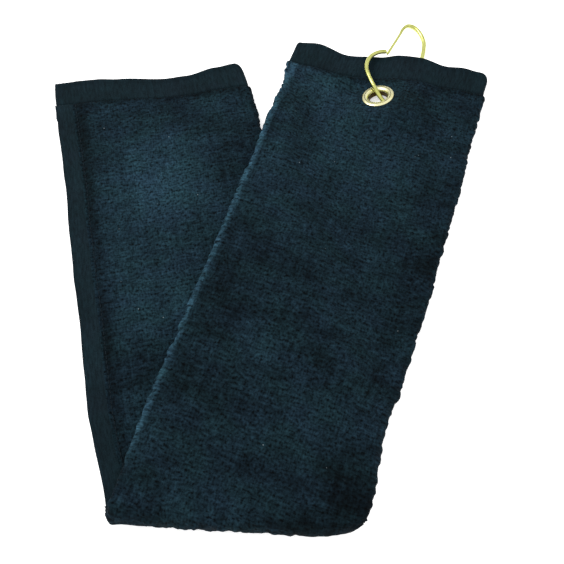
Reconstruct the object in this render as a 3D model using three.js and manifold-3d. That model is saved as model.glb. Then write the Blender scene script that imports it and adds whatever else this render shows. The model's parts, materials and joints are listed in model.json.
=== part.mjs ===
// A golf towel: a terry towel folded lengthwise in three and once across, with a brass eyelet near one
// end and a wire hook through the eyelet. Millimetres, +Z up, lying on the plane z = 0.
//
// The strip is folded across on a line along X. The rear leg lies on the ground and leans left, and the
// front leg comes back over it, leans right and ends at the eyelet. Along each leg, s runs across the
// strip to the right, v runs away from the fold, and h is the height in the stack of layers.

import * as THREE from "three";
import { mergeVertices } from "three/addons/utils/BufferGeometryUtils.js";
import Module from "manifold-3d";

const wasm = await Module();
wasm.setup();

// ---- Driving dimensions ----

// Cloth
const STRIP_WIDTH = 135.3; // a third of the towel's 406 mm width
const FRONT_LENGTH = 334.6; // fold line to the middle of the front end
const REAR_LENGTH = 310.4; // fold line to the middle of the rear end
const FOLD_SKEW = THREE.MathUtils.degToRad(15.3); // each leg's lean from square to the fold line
const FRONT_END_SKEW = THREE.MathUtils.degToRad(7.6); // how far the front end runs out of square
const REAR_END_SKEW = THREE.MathUtils.degToRad(4.8); // the same at the rear end
const PILE_THICKNESS = 2.8; // one layer of terry
const HEM_THICKNESS = 1.3; // one layer of turned, flat-woven end hem
const SIDE_HEM_THICKNESS = 1.8;
const LAYER_GAP = 0.3; // between folded layers
const END_HEM_WIDTH = 20;
const SIDE_HEM_WIDTH = 12;
const HEM_INSET = 2; // the end hems are this much narrower than the pile, on each side
const SEAM_WIDTH = 0.8; // a row of stitches
const SEAM_THICKNESS = 0.9;
const CLEARANCE = 0.3; // between neighbouring pieces

// Eyelet
const EYELET_FROM_END = 39.3; // hole centre to the front end, along the leg
const EYELET_ACROSS = -2.7; // hole centre from the leg's middle line
const EYELET_HEIGHT = 7.8; // hole centre above the ground
const HOLE_RADIUS = 6.5;
const FLANGE_RADIUS = 11.1;
const BRASS_THICKNESS = 0.5; // sheet of the barrel and the washer
const FLANGE_DOME = 0.8; // height of the flange's rolled top
const FLANGE_ROUND = 0.4; // width of the rounding at the flange's edges
const FLANGE_SHOULDER = 0.65; // the share of the dome's height that it reaches there
const CRIMPED_CLOTH = 3.2; // all three layers, pressed between flange and washer
const EYELET_LEAN_ACROSS = 0.286; // rise of the eyelet's face to the right, per mm
const EYELET_LEAN_ALONG = -0.17; // rise of the eyelet's face towards the end, per mm
const CRIMP_FLAT = 12.5; // the cloth follows the eyelet's face out to this radius
const CRIMP_FADE = 34; // and lies as the rest of the leg from this radius

// Wire hook, in the eyelet's plan: across the leg, towards the end, and the height of the wire's underside
const WIRE_RADIUS = 1.5;
const WIRE_SIDES = 8;
const CATCH_SEAT = 3.2; // height of the catch's underside where the gate arm's tip rests on it
const CATCH_GAP = 0.1; // room between the two wires there
const CATCH_TOP = CATCH_SEAT + 2 * WIRE_RADIUS + CATCH_GAP;
const GATE_ROOT = [9.5, -2.2, 2.1];
const GATE_POINTS = [
  GATE_ROOT,
  [4.7, -0.2, 3.9],
  [-1.3, 3.8, 6.3],
  [-5.3, 7.2, 8.6],
  [-10.9, 14.3, 8.8],
  [-14.6, 21.0, 8.1],
  [-15.7, 28.4, 7.5],
  [-14.0, 35.0, 6.9],
  [-9.9, 39.6, CATCH_TOP + 0.3],
  [-5.2, 41.9, CATCH_TOP],
];
const CATCH_POINTS = [
  [-5.3, 40.4, 3.7],
  [-4.9, 41.9, CATCH_SEAT],
  [-4.1, 44.4, 4.1],
];
const BOW_POINTS = [
  [-1.0, 64.0, 2.4],
  [-0.2, 71.0, 1.5],
  [2.2, 75.2, 0.9],
  [6.8, 75.6, 0.5],
  [12.6, 71.4, 0.35],
  [17.2, 64.3, 0.15],
  [18.9, 57.0, 0.1],
  [19.8, 48.0, 0.1],
  [21.4, 36.0, 0.1],
  [22.2, 24.0, 0.1],
  [21.0, 11.5, 0.25],
  [17.4, 2.2, 0.7],
  [12.9, -2.4, 1.8],
];

// Drape
const DROP_START = 8; // past the rear leg's edge, the front leg begins to sink here
const DROP_END = 44; // and lies on the ground here
const HOOK_LIFT = 2 * WIRE_RADIUS + 0.2; // how far the wire below the leg lifts it
const LIFT_ACROSS = 20.5; // the lifted ridge runs over this part of the wire
const LIFT_CREST = 4; // half width of the ridge's flat crest
const LIFT_FADE = 34; // distance at which the ridge has run out
const LIFT_START = -6; // the ridge ends here, towards the fold

// Fineness of the faceted surfaces
const COLUMN_LINES = [-44, -30, -18, -9, 0, 9, 18, 30, 44]; // across the front leg, from the eyelet
const LONG_STATIONS = 12; // spans along the front leg, up to the eyelet's surroundings
const NEAR_STATIONS = 7; // spans from there to the end hem
const NEAR_SHARE = 0.2; // the share of the leg's length that they cover
const BEND_STEPS = 8;
const ARC_STEPS = 4;
const ROUND_SIDES = 32;
const HOOK_STEPS = 52; // spans along the hook's wire
const GATE_STEPS = 26; // and along its gate

// ---- Values that follow ----

const HALF_WIDTH = STRIP_WIDTH / 2;
const stackHeight = (layer) => 3 * layer + 2 * LAYER_GAP;
const STACK = stackHeight(PILE_THICKNESS);
const HEM_STACK = stackHeight(HEM_THICKNESS);
const HINGE_HEIGHT = STACK + LAYER_GAP / 2; // the fold line
const FRONT_BASE = STACK + LAYER_GAP; // the front leg's underside on the rear leg
const SEAM_SPACE = SEAM_WIDTH + 2 * CLEARANCE;
const BEND_SHIFT = Math.PI * (HINGE_HEIGHT / 2) * Math.tan(FOLD_SKEW); // sideways travel round the bend

const smooth = THREE.MathUtils.smoothstep;
const mix = THREE.MathUtils.lerp;

// ---- Legs ----

// lean is +1 for a leg that leans right. The front leg's layers are stacked the other way up.
const rearLeg = {
  lean: -1,
  shift: -BEND_SHIFT / 2,
  length: REAR_LENGTH,
  endSlope: -Math.tan(REAR_END_SKEW),
  flipped: false,
};
const frontLeg = {
  lean: 1,
  shift: BEND_SHIFT / 2,
  length: FRONT_LENGTH,
  endSlope: Math.tan(FRONT_END_SKEW),
  flipped: true,
};

const endOf = (leg, s) => leg.length + s * leg.endSlope;

// The v at which a line s meets the line y = distance, beside the fold line.
const startOf = (leg, s, distance) => distance / Math.cos(FOLD_SKEW) + leg.lean * s * Math.tan(FOLD_SKEW);

function plan(leg, s, v) {
  const x = s * Math.cos(FOLD_SKEW) + leg.lean * v * Math.sin(FOLD_SKEW) + leg.shift;
  const y = v * Math.cos(FOLD_SKEW) - leg.lean * s * Math.sin(FOLD_SKEW);
  return new THREE.Vector2(x, y);
}

const eyeletV = endOf(frontLeg, EYELET_ACROSS) - EYELET_FROM_END;
const eyeletPlan = plan(frontLeg, EYELET_ACROSS, eyeletV);

// Height of the crimped stack's middle under the eyelet, at (across, along) from the hole's centre.
const eyeletFace = (across, along) =>
  EYELET_HEIGHT + EYELET_LEAN_ACROSS * across + EYELET_LEAN_ALONG * along;

// Underside of the front leg: on the rear leg, then sinking to the ground, with the ridge over the wire.
function frontBase(across, along) {
  const point = plan(frontLeg, EYELET_ACROSS + across, eyeletV + along);
  const edge = plan(rearLeg, HALF_WIDTH, 0);
  const outward = new THREE.Vector2(Math.cos(FOLD_SKEW), Math.sin(FOLD_SKEW));
  const past = point.sub(edge).dot(outward);
  const resting = FRONT_BASE * (1 - smooth(past, DROP_START, DROP_END));
  const side = 1 - smooth(Math.abs(across - LIFT_ACROSS), LIFT_CREST, LIFT_FADE);
  const reach = smooth(along, LIFT_START - LIFT_FADE, LIFT_START);
  return Math.max(resting, HOOK_LIFT * side * reach);
}

// A point of a leg. h is measured in a stack of the given height, counted from the rear leg's underside.
function legPoint(leg, s, v, h, stack) {
  const point = plan(leg, s, v);
  if (!leg.flipped) return new THREE.Vector3(point.x, point.y, h);
  const across = s - EYELET_ACROSS;
  const along = v - eyeletV;
  const crimp = 1 - smooth(Math.hypot(across, along), CRIMP_FLAT, CRIMP_FADE);
  const pressed = eyeletFace(across, along) - CRIMPED_CLOTH / 2;
  const base = Math.max(0, mix(frontBase(across, along), pressed, crimp));
  const height = mix(stack, CRIMPED_CLOTH, crimp);
  return new THREE.Vector3(point.x, point.y, base + height * (1 - h / stack));
}

// ---- Sections across the strip ----

const range = (count) => Array.from({ length: count + 1 }, (_, i) => i / count);

// A band of constant thickness along a path of {at, normal} in the (s, h) plane, as a closed outline.
function band(path, thickness) {
  const side = (offset) => path.map(({ at, normal }) => at.clone().addScaledVector(normal, offset));
  return [...side(-thickness / 2), ...side(thickness / 2).reverse()];
}

// A straight run of the path, with a point on each of the lines that it crosses.
function panel(from, to, h, lines) {
  const crossed = lines.filter((s) => (s - from) * (s - to) < 0);
  if (to < from) crossed.reverse();
  const normal = new THREE.Vector2(0, Math.sign(to - from));
  return [from, ...crossed, to].map((s) => ({ at: new THREE.Vector2(s, h), normal }));
}

// A fold from one layer to another, about a centre, turning anticlockwise through half a circle.
function fold(centre, radius, startAngle) {
  const inner = range(ARC_STEPS).slice(1, -1);
  return inner.map((t) => {
    const angle = startAngle + Math.PI * t;
    const out = new THREE.Vector2(Math.cos(angle), Math.sin(angle));
    return { at: centre.clone().addScaledVector(out, radius), normal: out.negate() };
  });
}

// The strip folded in three: the inner flap from its free edge to the left fold, the middle panel, the
// right fold, and the outer flap to its free edge. The middle panel is lowest.
function threeFold(layer, halfWidth, innerEdge, outerEdge, lines) {
  const pitch = layer + LAYER_GAP;
  const low = layer / 2;
  const leftCentre = new THREE.Vector2(-halfWidth + (layer + pitch) / 2, low + pitch / 2);
  const rightCentre = new THREE.Vector2(halfWidth - layer / 2 - pitch, low + pitch);
  const path = [
    ...panel(innerEdge, leftCentre.x, low + pitch, lines),
    ...fold(leftCentre, pitch / 2, Math.PI / 2),
    ...panel(leftCentre.x, rightCentre.x, low, lines),
    ...fold(rightCentre, pitch, -Math.PI / 2),
    ...panel(rightCentre.x, outerEdge, low + 2 * pitch, lines),
  ];
  return band(path, layer);
}

// ---- Solids ----

// Merges shared vertices and turns the faces outward.
function closed(geometry) {
  const bare = geometry.clone();
  bare.deleteAttribute("normal");
  bare.deleteAttribute("uv");
  const merged = mergeVertices(bare);
  const indices = Array.from(merged.index.array);
  const corner = [new THREE.Vector3(), new THREE.Vector3(), new THREE.Vector3()];
  let volume = 0;
  for (let i = 0; i < indices.length; i += 3) {
    corner.forEach((c, j) => c.fromBufferAttribute(merged.attributes.position, indices[i + j]));
    volume += corner[0].dot(corner[1].clone().cross(corner[2]));
  }
  if (volume < 0) merged.setIndex(indices.reverse());
  return merged;
}

function fromTriangles(positions, indices) {
  const geometry = new THREE.BufferGeometry();
  geometry.setAttribute("position", new THREE.Float32BufferAttribute(positions, 3));
  geometry.setIndex(indices);
  return closed(geometry);
}

// Joins a row of rings, each a list of points in the same order as a band's outline, into a closed solid.
// Each side's quads are all split along the same direction of the plan, so that stacked layers stay
// parallel. Each end is closed by rungs from one side of the band to the other, so it follows the band.
function loft(outline, rings) {
  const n = outline.length;
  const positions = rings.flat().flatMap((p) => p.toArray());
  const last = (rings.length - 1) * n;
  const indices = [];
  for (let i = 0; i < n / 2 - 1; i += 1) {
    const across = n - 1 - i;
    indices.push(i + 1, i, across, i + 1, across, across - 1);
    indices.push(last + i, last + i + 1, last + across, last + i + 1, last + across - 1, last + across);
  }
  for (let r = 0; r < rings.length - 1; r += 1) {
    for (let i = 0; i < n; i += 1) {
      const near = r * n + i;
      const nearNext = r * n + ((i + 1) % n);
      const far = near + n;
      const farNext = nearNext + n;
      const forward = [near, nearNext, farNext, near, farNext, far];
      const backward = [near, nearNext, far, nearNext, farNext, far];
      indices.push(...(outline[(i + 1) % n].x < outline[i].x ? forward : backward));
    }
  }
  return fromTriangles(positions, indices);
}

// A section carried along a leg, between two functions of s that give v.
function alongLeg(leg, outline, stack, from, to, stations) {
  const rings = stations.map((t) =>
    outline.map(({ x: s, y: h }) => legPoint(leg, s, mix(from(s), to(s), t), h, stack)),
  );
  return loft(outline, rings);
}

// The strip's section carried round the fold across, from the rear leg to the front one.
function bend(outline) {
  const rings = range(BEND_STEPS).map((t) =>
    outline.map(({ x: s, y: h }) => {
      const radius = HINGE_HEIGHT - h;
      const angle = Math.PI * t;
      const x = s / Math.cos(FOLD_SKEW) + BEND_SHIFT * (t - 0.5);
      return new THREE.Vector3(x, -radius * Math.sin(angle), HINGE_HEIGHT - radius * Math.cos(angle));
    }),
  );
  return loft(outline, rings);
}

function toManifold(geometry) {
  const vertProperties = Float32Array.from(geometry.attributes.position.array);
  const triVerts = Uint32Array.from(geometry.index.array);
  return new wasm.Manifold(new wasm.Mesh({ numProp: 3, vertProperties, triVerts }));
}

function cut(geometry, tool) {
  const { vertProperties, triVerts } = toManifold(geometry).subtract(toManifold(tool)).getMesh();
  return fromTriangles(Array.from(vertProperties), Array.from(triVerts));
}

// A round piece about the eyelet's axis, from a closed outline of [radius, height over the cloth's middle].
function aboutEyelet(outline) {
  const points = outline.map(([radius, height]) => new THREE.Vector2(radius, height));
  const shape = new THREE.LatheGeometry([...points, points[0]], ROUND_SIDES);
  shape.rotateX(Math.PI / 2);
  const across = plan(frontLeg, 1, 0).sub(plan(frontLeg, 0, 0));
  const along = plan(frontLeg, 0, 1).sub(plan(frontLeg, 0, 0));
  const rise = across.multiplyScalar(EYELET_LEAN_ACROSS).addScaledVector(along, EYELET_LEAN_ALONG);
  const axis = new THREE.Vector3(-rise.x, -rise.y, 1).normalize();
  shape.applyQuaternion(new THREE.Quaternion().setFromUnitVectors(new THREE.Vector3(0, 0, 1), axis));
  return closed(shape.translate(eyeletPlan.x, eyeletPlan.y, EYELET_HEIGHT));
}

// A length of round wire through points in the eyelet's plan, shortened by a gap at its start.
function wire(points, steps, gap) {
  const centres = points.map(([across, along, underside]) => {
    const spot = plan(frontLeg, EYELET_ACROSS + across, eyeletV + along);
    return new THREE.Vector3(spot.x, spot.y, underside + WIRE_RADIUS);
  });
  const whole = new THREE.CatmullRomCurve3(centres, false, "centripetal");
  const skipped = gap / whole.getLength();
  const path = new THREE.Curve();
  path.getPoint = (t, target) => whole.getPointAt(mix(skipped, 1, t), target);
  const section = new THREE.Shape().absarc(0, 0, WIRE_RADIUS, 0, 2 * Math.PI);
  const options = { steps, extrudePath: path, bevelEnabled: false, curveSegments: WIRE_SIDES / 2 };
  return new THREE.ExtrudeGeometry(section, options);
}

// ---- Materials ----

const finish = (color, roughness, metalness) =>
  new THREE.MeshStandardMaterial({ color, roughness, metalness });
const terry = () => finish(0x1e2f39, 0.95, 0);
const flatWeave = () => finish(0x1d2d35, 0.85, 0);
const thread = () => finish(0x15242c, 0.7, 0);
const brass = () => finish(0xd8d39a, 0.22, 1);

const towel = new THREE.Group();

function add(name, geometry, material) {
  const mesh = new THREE.Mesh(geometry, material);
  mesh.name = name;
  towel.add(mesh);
}

// ---- Cloth, hems and seams ----

const hemHalfWidth = HALF_WIDTH - HEM_INSET;
const innerFree = HALF_WIDTH - 2 * PILE_THICKNESS; // the inner flap's free edge, inside the right fold
const outerFree = -HALF_WIDTH + LAYER_GAP; // the outer flap's free edge, over the left fold
const sideBand = SIDE_HEM_WIDTH + SEAM_SPACE;
const layerMiddle = (index) => PILE_THICKNESS / 2 + index * (PILE_THICKNESS + LAYER_GAP);

// A flat band in one layer of the strip: a turned side hem or its row of stitches.
const layerBand = (from, to, index, thickness) =>
  band(panel(from, to, layerMiddle(index), []), thickness);

// The folded end hem or its row of stitches, a little narrower than the pile.
function endBand(layer, lines) {
  const outerEdge = LAYER_GAP - hemHalfWidth;
  const innerEdge = hemHalfWidth - 2 * layer;
  return threeFold(layer, hemHalfWidth, innerEdge, outerEdge, lines);
}

const innerPileEdge = innerFree - sideBand;
const outerPileEdge = outerFree + sideBand;
const frontLines = [
  outerPileEdge,
  ...COLUMN_LINES.map((offset) => EYELET_ACROSS + offset),
  innerPileEdge,
];
const frontStations = [
  ...range(LONG_STATIONS).map((t) => t * (1 - NEAR_SHARE)),
  ...range(NEAR_STATIONS).slice(1).map((t) => 1 - NEAR_SHARE * (1 - t)),
];

for (const [side, leg, lines, stations, hemStations] of [
  ["rear", rearLeg, [], range(1), range(1)],
  ["front", frontLeg, frontLines, frontStations, range(2)],
]) {
  const start = (s) => startOf(leg, s, CLEARANCE);
  const pileEnd = (s) => endOf(leg, s) - END_HEM_WIDTH - SEAM_SPACE;
  const seamStart = (s) => pileEnd(s) + CLEARANCE;
  const seamEnd = (s) => seamStart(s) + SEAM_WIDTH;
  const hemStart = (s) => endOf(leg, s) - END_HEM_WIDTH;
  const hemEnd = (s) => endOf(leg, s);

  const pile = threeFold(PILE_THICKNESS, HALF_WIDTH, innerPileEdge, outerPileEdge, lines);
  let pileSolid = alongLeg(leg, pile, STACK, start, pileEnd, stations);
  if (leg === frontLeg) {
    const rim = FLANGE_RADIUS + CLEARANCE;
    const bore = HOLE_RADIUS + BRASS_THICKNESS + CLEARANCE;
    const face = (CRIMPED_CLOTH + CLEARANCE) / 2; // trims only what stands proud of the crimp
    const room = STACK; // taller than the cloth on either side
    const spool = [
      [0, room],
      [rim, room],
      [rim, face],
      [bore, face],
      [bore, -face],
      [rim, -face],
      [rim, -room],
      [0, -room],
    ];
    pileSolid = cut(pileSolid, aboutEyelet(spool));
  }
  add(`${side}_terry`, pileSolid, terry());

  const hem = endBand(HEM_THICKNESS, lines);
  add(`${side}_end_hem`, alongLeg(leg, hem, HEM_STACK, hemStart, hemEnd, hemStations), flatWeave());
  const seam = endBand(SEAM_THICKNESS, lines);
  const seamStack = stackHeight(SEAM_THICKNESS);
  add(`${side}_end_seam`, alongLeg(leg, seam, seamStack, seamStart, seamEnd, range(1)), thread());

  const outerHem = layerBand(outerFree, outerFree + SIDE_HEM_WIDTH, 2, SIDE_HEM_THICKNESS);
  add(`${side}_outer_side_hem`, alongLeg(leg, outerHem, STACK, start, pileEnd, stations), flatWeave());
  const outerRow = outerFree + SIDE_HEM_WIDTH + CLEARANCE;
  const outerSeam = layerBand(outerRow, outerRow + SEAM_WIDTH, 2, SEAM_THICKNESS);
  add(`${side}_outer_side_seam`, alongLeg(leg, outerSeam, STACK, start, pileEnd, stations), thread());

  const innerHem = layerBand(innerFree, innerFree - SIDE_HEM_WIDTH, 1, SIDE_HEM_THICKNESS);
  add(`${side}_inner_side_hem`, alongLeg(leg, innerHem, STACK, start, pileEnd, stations), flatWeave());
  const innerRow = innerFree - SIDE_HEM_WIDTH - CLEARANCE;
  const innerSeam = layerBand(innerRow, innerRow - SEAM_WIDTH, 1, SEAM_THICKNESS);
  add(`${side}_inner_side_seam`, alongLeg(leg, innerSeam, STACK, start, pileEnd, stations), thread());
}

// The bend carries the whole strip, side hems included.
add("mid_fold", bend(threeFold(PILE_THICKNESS, HALF_WIDTH, innerFree, outerFree, [])), terry());

// ---- Eyelet: a flanged barrel set from the front, clinched over a washer at the back ----

const clothFace = CRIMPED_CLOTH / 2 + CLEARANCE;
const barrelOuter = HOLE_RADIUS + BRASS_THICKNESS;
const washerInner = barrelOuter + CLEARANCE;
const washerBack = -clothFace - BRASS_THICKNESS;
const clinchFace = washerBack - CLEARANCE;
const clinchBack = clinchFace - BRASS_THICKNESS;
const crownRadius = (barrelOuter + FLANGE_RADIUS) / 2;
const shoulder = clothFace + FLANGE_DOME * FLANGE_SHOULDER;
const eyelet = [
  [barrelOuter, clothFace],
  [FLANGE_RADIUS, clothFace],
  [FLANGE_RADIUS - FLANGE_ROUND, shoulder],
  [crownRadius, clothFace + FLANGE_DOME],
  [barrelOuter + FLANGE_ROUND, shoulder],
  [HOLE_RADIUS, clothFace - FLANGE_DOME],
  [HOLE_RADIUS, clinchFace],
  [barrelOuter, clinchBack],
  [crownRadius, clinchBack],
  [crownRadius, clinchFace],
  [barrelOuter, clinchFace],
];
add("grommet_eyelet", aboutEyelet(eyelet), brass());
const washer = [
  [washerInner, -clothFace],
  [washerInner, washerBack],
  [FLANGE_RADIUS, washerBack],
  [FLANGE_RADIUS, -clothFace],
];
add("grommet_washer", aboutEyelet(washer), brass());

// ---- Wire hook: a bow with a catch at one end, and the springy gate arm that closes on the catch ----

const hookPoints = [...CATCH_POINTS, ...BOW_POINTS, GATE_ROOT].reverse();
add("hook_wire", wire(hookPoints, HOOK_STEPS, CLEARANCE), brass());
add("gate_wire", wire(GATE_POINTS, GATE_STEPS, CLEARANCE), brass());

// The origin is under the middle of the whole piece, on the ground.
const box = new THREE.Box3().setFromObject(towel);
const middle = box.getCenter(new THREE.Vector3());
towel.position.set(-middle.x, -middle.y, 0);

export default towel;
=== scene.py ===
# %% [markdown]
# # A folded golf towel in Blender
# The towel is one cotton terry cloth with turned, stitched hems, folded lengthwise in three and once
# across, with a brass eyelet near one end and a sprung wire hook through it. The sizes, joints and places
# come from a frame that another tool made. This notebook gives every piece its finished shape and surface.

# %% Load the frame
import json
import math

import bpy
import numpy as np
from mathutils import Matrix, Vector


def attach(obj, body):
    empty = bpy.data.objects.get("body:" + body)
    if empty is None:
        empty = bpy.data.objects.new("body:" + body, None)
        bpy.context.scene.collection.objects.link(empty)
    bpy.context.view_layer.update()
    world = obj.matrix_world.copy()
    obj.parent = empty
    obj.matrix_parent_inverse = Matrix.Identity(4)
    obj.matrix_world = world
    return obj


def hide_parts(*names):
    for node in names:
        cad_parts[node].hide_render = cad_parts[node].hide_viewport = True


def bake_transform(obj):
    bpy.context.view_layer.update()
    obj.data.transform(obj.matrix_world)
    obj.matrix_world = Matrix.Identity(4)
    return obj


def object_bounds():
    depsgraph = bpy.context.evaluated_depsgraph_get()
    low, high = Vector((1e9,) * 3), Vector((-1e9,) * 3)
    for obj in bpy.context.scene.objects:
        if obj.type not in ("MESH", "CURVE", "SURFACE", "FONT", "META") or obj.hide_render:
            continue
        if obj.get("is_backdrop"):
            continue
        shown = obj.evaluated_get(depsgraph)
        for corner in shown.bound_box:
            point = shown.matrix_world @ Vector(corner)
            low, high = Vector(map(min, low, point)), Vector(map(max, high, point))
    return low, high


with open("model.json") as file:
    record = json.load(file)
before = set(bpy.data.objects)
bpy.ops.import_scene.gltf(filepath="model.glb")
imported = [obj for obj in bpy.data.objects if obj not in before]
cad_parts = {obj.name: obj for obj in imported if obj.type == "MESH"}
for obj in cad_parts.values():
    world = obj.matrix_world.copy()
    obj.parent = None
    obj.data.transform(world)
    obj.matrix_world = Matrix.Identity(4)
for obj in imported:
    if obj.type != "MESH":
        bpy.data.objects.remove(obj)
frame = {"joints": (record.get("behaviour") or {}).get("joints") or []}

cad_low, cad_high = (list(corner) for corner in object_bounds())
print("CAD box", [round(b - a, 4) for a, b in zip(cad_low, cad_high)])

# %% [markdown]
# ## Where things are
# The frame's joints say where the towel bends and where the hook hangs. The hinge named unfold lies along
# the fold line. The hinge named hook_swing passes through the eyelet's centre and points along the front
# leg, so its direction also gives each leg's lean. Working them out here keeps the cloth on the solids.

# %% Places from the joints
MM = 0.001  # every size below is written in millimetres and kept in metres
joints = {joint["name"]: joint for joint in frame["joints"]}
HINGE = np.array(joints["unfold"]["pos_m"])
EYELET = np.array(joints["hook_swing"]["pos_m"])
along_axis = np.array(joints["hook_swing"]["axis"][:2])
LEAN = math.atan2(along_axis[0], along_axis[1])
print("lean of each leg", round(math.degrees(LEAN), 2), "degrees; fold line at y", round(HINGE[1], 4))

# %% [markdown]
# ## Camera
# The towel is seen from above and in front, the way it would be laid out on a table for a catalogue: a
# 50 mm lens about half a metre away. A short distance makes the near end look wider than the far end,
# so the distance matters as much as the angle.

# %% Camera
CAMERA_LENS = 50.0  # millimetres, on a 36 mm wide sensor
CAMERA_DISTANCE = 491.5 * MM
CAMERA_ELEVATION = math.radians(64.67)
CAMERA_TURN = math.radians(3.46)  # anticlockwise from looking along +Y
AIM = np.array([HINGE[0] + 18.97 * MM, HINGE[1] + 143.96 * MM, 0.0])

toward = np.array([-math.sin(CAMERA_TURN), math.cos(CAMERA_TURN), 0.0])
back = CAMERA_DISTANCE * math.cos(CAMERA_ELEVATION)
camera_data = bpy.data.cameras.new("camera")
camera_data.lens = CAMERA_LENS
camera_data.sensor_width = 36.0
camera = bpy.data.objects.new("camera", camera_data)
bpy.context.scene.collection.objects.link(camera)
camera.location = AIM - back * toward + [0, 0, CAMERA_DISTANCE * math.sin(CAMERA_ELEVATION)]
camera.rotation_euler = (math.pi / 2 - CAMERA_ELEVATION, 0.0, CAMERA_TURN)
bpy.context.scene.camera = camera
print("camera at", [round(x, 3) for x in camera.location])

# %% [markdown]
# ## Small helpers
# Mesh pieces are built from arrays of points, which is far quicker than adding faces one at a time. A
# material is a graph of nodes, so one function adds a node, sets it and joins its inputs. Colours are
# written as the sRGB hex that a designer would pick, and turned into the linear values that light uses.

# %% Mesh and material helpers
def new_piece(name, points, faces):
    """Link a smooth mesh object made of points and of faces, which may have three or more corners."""
    mesh = bpy.data.meshes.new(name)
    mesh.vertices.add(len(points))
    mesh.vertices.foreach_set("co", np.asarray(points, np.float32).ravel())
    sizes = np.array([len(face) for face in faces])
    mesh.loops.add(int(sizes.sum()))
    mesh.loops.foreach_set("vertex_index", np.concatenate([np.asarray(face) for face in faces]))
    mesh.polygons.add(len(faces))
    mesh.polygons.foreach_set("loop_start", np.concatenate([[0], np.cumsum(sizes)[:-1]]))
    mesh.polygons.foreach_set("loop_total", sizes)
    mesh.polygons.foreach_set("use_smooth", np.ones(len(faces), bool))
    mesh.update(calc_edges=True)
    mesh.validate()
    piece = bpy.data.objects.new(name, mesh)
    bpy.context.scene.collection.objects.link(piece)
    return piece


def linear(hex_colour):
    """sRGB hex to the linear RGBA that a shader takes."""
    values = [int(hex_colour[i:i + 2], 16) / 255 for i in (1, 3, 5)]
    return [v / 12.92 if v <= 0.04045 else ((v + 0.055) / 1.055) ** 2.4 for v in values] + [1.0]


def node(material, kind, links=None, values=None, **settings):
    """Add a node of a kind to a material: settings on the node, values and links on its inputs."""
    made = material.node_tree.nodes.new(kind)
    for name, setting in settings.items():
        setattr(made, name, setting)
    for name, value in (values or {}).items():
        made.inputs[name].default_value = value
    for name, source in (links or {}).items():
        material.node_tree.links.new(source, made.inputs[name])
    return made


def new_material(name):
    """An empty node material with only its output."""
    material = bpy.data.materials.new(name)
    material.use_nodes = True
    material.node_tree.nodes.clear()
    return material


def clamp_step(low, high, x):
    """0 below low, 1 above high and a smooth S between them."""
    t = np.clip((np.asarray(x, float) - low) / (high - low), 0, 1)
    return t * t * (3 - 2 * t)


def blend_to(a, b, t):
    return a + (b - a) * t


# %% [markdown]
# ## Noise that belongs to the cloth
# Pile isn't even: the loops clump, and brushing leaves soft patches. Smooth random bumps are made in the
# cloth's own flat coordinates, before folding, so that they run on round every fold without a seam.

# %% Value noise on the flat cloth
def cloth_noise(across, along, across_size, along_size, seed):
    """Smooth noise from -1 to 1, with bumps of the given sizes, at points of the flat cloth."""
    lattice = np.random.default_rng(seed).uniform(-1, 1, (257, 257))
    x, y = across / across_size, along / along_size
    column, row = np.floor(x).astype(int), np.floor(y).astype(int)
    fx, fy = clamp_step(0, 1, x - column), clamp_step(0, 1, y - row)
    corner = lambda i, j: lattice[(row + j) % 257, (column + i) % 257]
    near = blend_to(corner(0, 0), corner(1, 0), fx)
    far = blend_to(corner(0, 1), corner(1, 1), fx)
    return blend_to(near, far, fy)


print("noise check", round(float(cloth_noise(np.array([1.3]), np.array([2.1]), 1, 1, 1)[0]), 3))

# %% [markdown]
# ## How the towel is folded
# A tri-fold towel is a wide cloth folded lengthwise into a strip a third as wide, then folded across.
# The strip has three layers: an inner flap, the middle panel and an outer flap. The rear leg lies on the
# table with its outer flap on top, and the front leg comes back over it with the middle panel on top.
# Along each leg s runs across the strip, v runs away from the fold, and h counts up the stack.

# %% Sizes of the folded strip
STRIP_WIDTH = 135.3  # a third of the towel's width
FRONT_LENGTH, REAR_LENGTH = 334.6, 310.4  # fold line to the middle of each end
PILE, HEM, SEAM = 2.8, 1.3, 0.9  # thickness of one layer of terry, of turned hem and of stitched seam
LAYER_GAP = 0.3  # between the layers of the stack
END_HEM, SIDE_HEM = 20.0, 12.0  # widths of the turned hems
HEM_INSET = 2.0  # the end hems draw in this much on each side
END_SLOPE = {"rear": -math.tan(math.radians(4.8)), "front": math.tan(math.radians(7.6))}
CRIMPED_CLOTH = 3.2  # all three layers, pressed under the eyelet's flange
FACE_ACROSS, FACE_ALONG = 0.286, -0.17  # slope of the eyelet's face, per millimetre
EYELET_ACROSS = -2.7  # from the strip's middle line
EYELET_FROM_END = 39.3
WIRE_RADIUS = 1.5
HOOK_LIFT = 2 * WIRE_RADIUS + 0.2  # how far the wire below the front leg lifts it

HALF_WIDTH = STRIP_WIDTH / 2
STACK = 3 * PILE + 2 * LAYER_GAP
HINGE_HEIGHT = HINGE[2] / MM
BEND_SHIFT = math.pi * (HINGE_HEIGHT / 2) * math.tan(LEAN)  # sideways travel round the fold
BEND_LENGTH = math.pi * HINGE_HEIGHT  # round the outermost layer, which is the one that shows
SIGN = {"rear": -1.0, "front": 1.0}  # which way each leg leans
LENGTH = {"rear": REAR_LENGTH, "front": FRONT_LENGTH}
EYELET_V = FRONT_LENGTH + EYELET_ACROSS * END_SLOPE["front"] - EYELET_FROM_END
print("stack", STACK, "mm; shift round the fold", round(BEND_SHIFT, 2), "mm")


# %% [markdown]
# ## From the flat cloth to the table
# The front leg rests on the rear one, sinks to the table past its edge, and rides up over the hook's wire.
# Under the eyelet all three layers are pressed thin. These are gentle shapes a person's hands leave, so
# they are written as smooth steps, and not simulated: cloth this thick hardly drapes over nine millimetres.

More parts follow.
